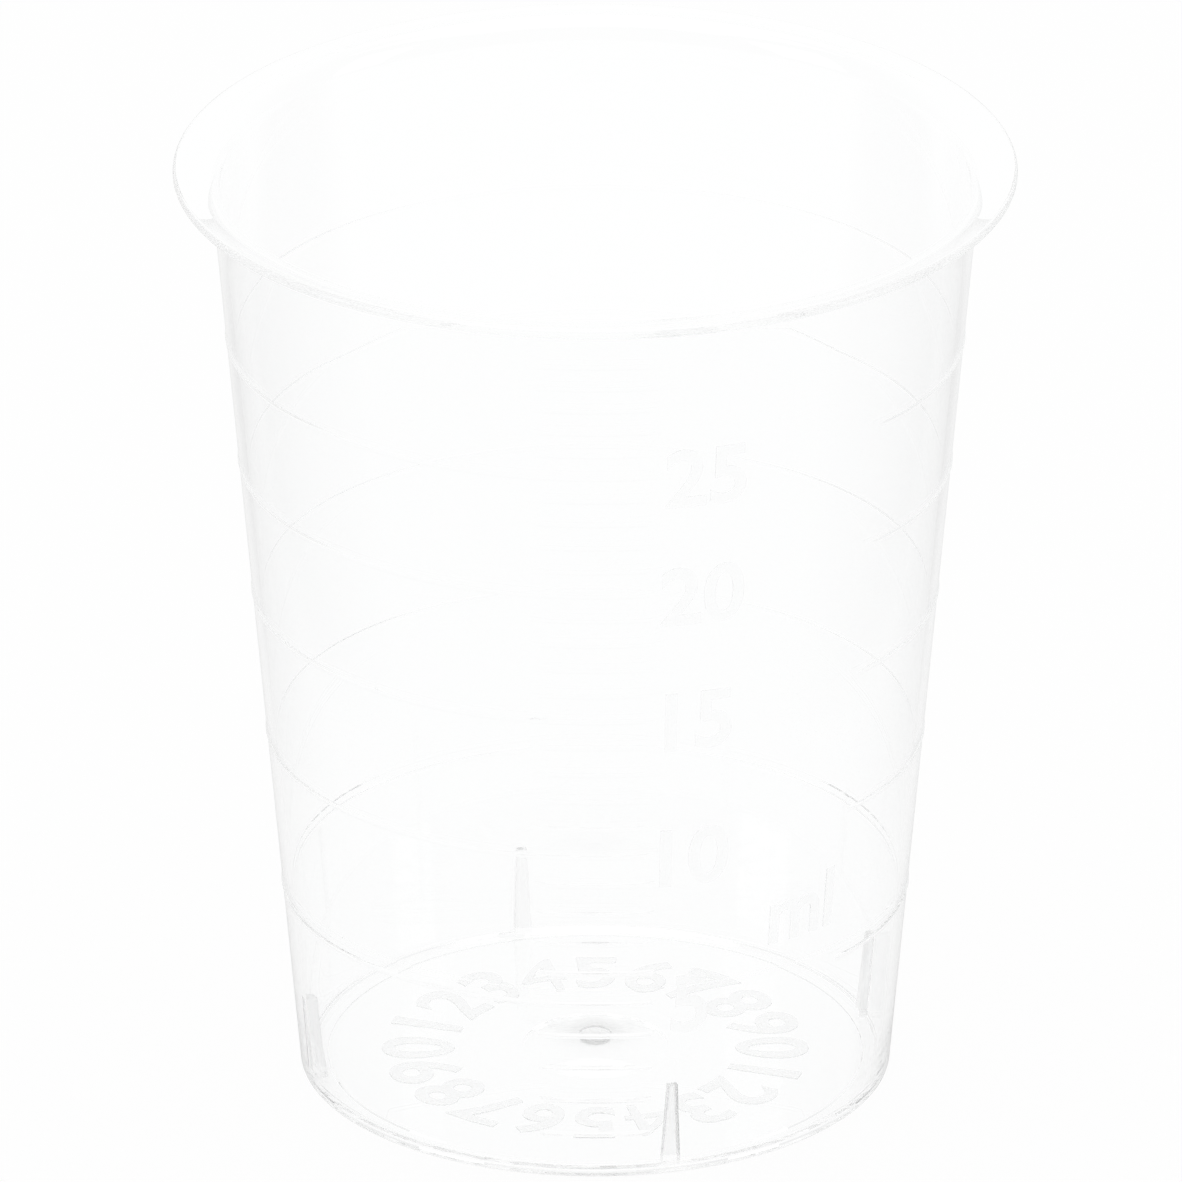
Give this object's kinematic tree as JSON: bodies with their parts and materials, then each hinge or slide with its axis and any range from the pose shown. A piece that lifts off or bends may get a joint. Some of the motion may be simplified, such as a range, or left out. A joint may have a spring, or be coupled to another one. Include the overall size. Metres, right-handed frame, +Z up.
{
  "type": "medicine cup",
  "caption": "Small tapered medicine cup in clear plastic with a flat rim, raised volume rings and short lines on the wall, and stacking ribs inside the foot.",
  "frame": {"origin": "centre of the foot, on the surface that the cup stands on", "axes": "+Z up along the cup's axis, the volume scale faces -Y, its numerals stand towards +X from the lines"},
  "size_m": [0.0386, 0.0386, 0.0446],
  "materials": {
    "clear_polypropylene": "clear moulded polypropylene, smooth with a slight haze"
  },
  "bodies": {
    "root": {"cup": "clear_polypropylene"}
  },
  "joints": []
}
